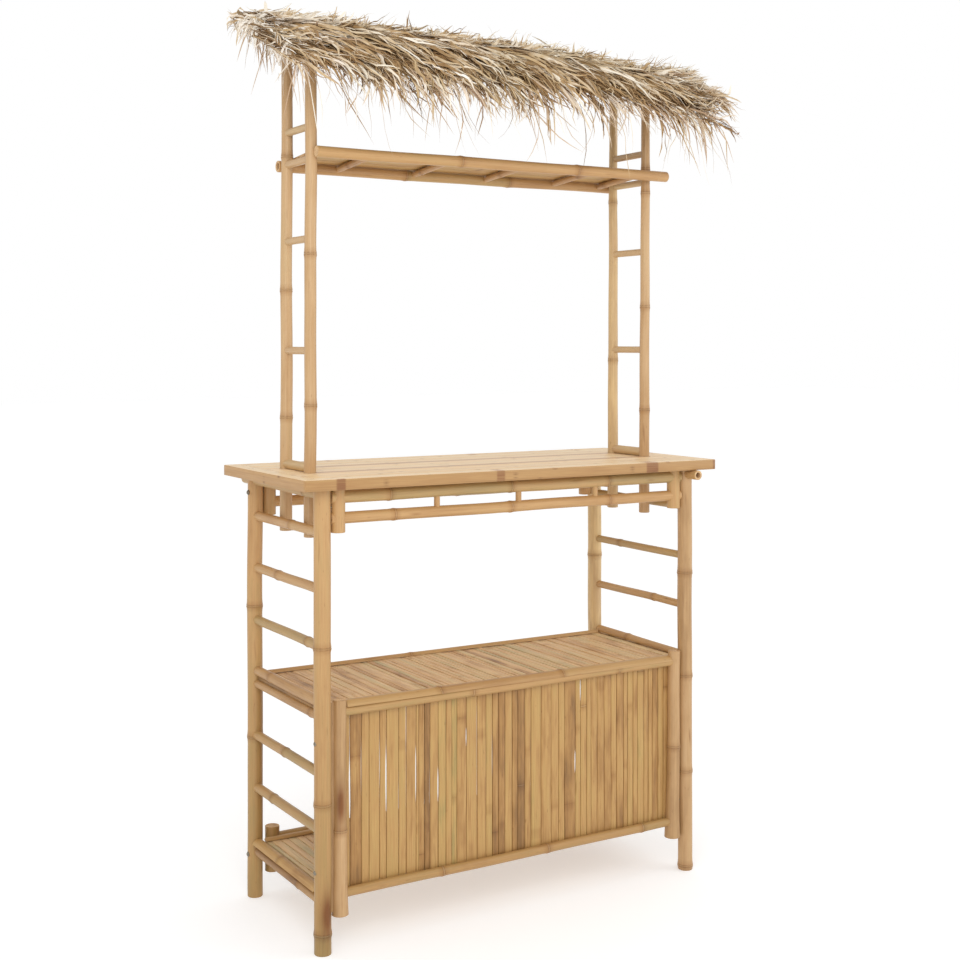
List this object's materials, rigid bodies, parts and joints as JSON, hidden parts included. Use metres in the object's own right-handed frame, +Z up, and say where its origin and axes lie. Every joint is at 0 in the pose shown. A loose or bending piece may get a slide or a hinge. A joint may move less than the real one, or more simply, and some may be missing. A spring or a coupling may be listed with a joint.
{
  "type": "tiki bar hut",
  "caption": "Free-standing bamboo bar: a counter on a shelved base with a slatted front, ladder posts, a bottle rack and a sloping thatched roof.",
  "frame": {"origin": "centre of the bar's bounding box, on the floor", "axes": "+X to the right along the counter, -Y to the front panel and the guests, +Z up"},
  "size_m": [1.25, 0.5428, 2.1365],
  "materials": {
    "bamboo_culm": "satin varnish",
    "split_bamboo": "satin varnish",
    "tabletop_bamboo": "satin varnish",
    "thatch": "dry straw",
    "steel": "zinc plated"
  },
  "bodies": {
    "root": {"bolts_and_pins": "steel", "bottom_shelf_battens": "split_bamboo", "bottom_shelf_front_trim": "split_bamboo", "bottom_shelf_left_border": "split_bamboo", "bottom_shelf_rear_trim": "split_bamboo", "bottom_shelf_right_border": "split_bamboo", "bottom_shelf_slats": "split_bamboo", "front_apron_left_stile": "bamboo_culm", "front_apron_lower_rail": "bamboo_culm", "front_apron_pegs": "bamboo_culm", "front_apron_right_stile": "bamboo_culm", "front_apron_upper_rail": "bamboo_culm", "front_panel_bottom_rail": "bamboo_culm", "front_panel_left_post": "bamboo_culm", "front_panel_right_post": "bamboo_culm", "front_panel_slats": "split_bamboo", "front_panel_top_rail": "bamboo_culm", "left_front_leg": "bamboo_culm", "left_front_post": "bamboo_culm", "left_post_rungs": "bamboo_culm", "left_rear_leg": "bamboo_culm", "left_rear_post": "bamboo_culm", "left_side_rungs": "bamboo_culm", "left_side_top_rail": "bamboo_culm", "middle_shelf_battens": "split_bamboo", "middle_shelf_front_trim": "split_bamboo", "middle_shelf_left_border": "bamboo_culm", "middle_shelf_rear_trim": "split_bamboo", "middle_shelf_right_border": "bamboo_culm", "middle_shelf_slats": "split_bamboo", "rack_dowels": "bamboo_culm", "rack_front_rail": "bamboo_culm", "rack_rear_rail": "bamboo_culm", "rack_slats": "split_bamboo", "rear_apron_left_stile": "bamboo_culm", "rear_apron_lower_rail": "bamboo_culm", "rear_apron_pegs": "bamboo_culm", "rear_apron_right_stile": "bamboo_culm", "rear_apron_upper_rail": "bamboo_culm", "rear_stretcher_left_stile": "bamboo_culm", "rear_stretcher_rails": "bamboo_culm", "rear_stretcher_right_stile": "bamboo_culm", "right_front_leg": "bamboo_culm", "right_front_post": "bamboo_culm", "right_post_rungs": "bamboo_culm", "right_rear_leg": "bamboo_culm", "right_rear_post": "bamboo_culm", "right_side_rungs": "bamboo_culm", "right_side_top_rail": "bamboo_culm", "roof_lattice": "split_bamboo", "roof_rails": "bamboo_culm", "tabletop_battens": "split_bamboo", "tabletop_boards": "tabletop_bamboo", "tabletop_front_edge": "tabletop_bamboo", "tabletop_left_edge": "tabletop_bamboo", "tabletop_rear_edge": "tabletop_bamboo", "tabletop_right_edge": "tabletop_bamboo", "thatch_front_row": "thatch", "thatch_middle_row": "thatch", "thatch_rear_row": "thatch"}
  },
  "joints": []
}
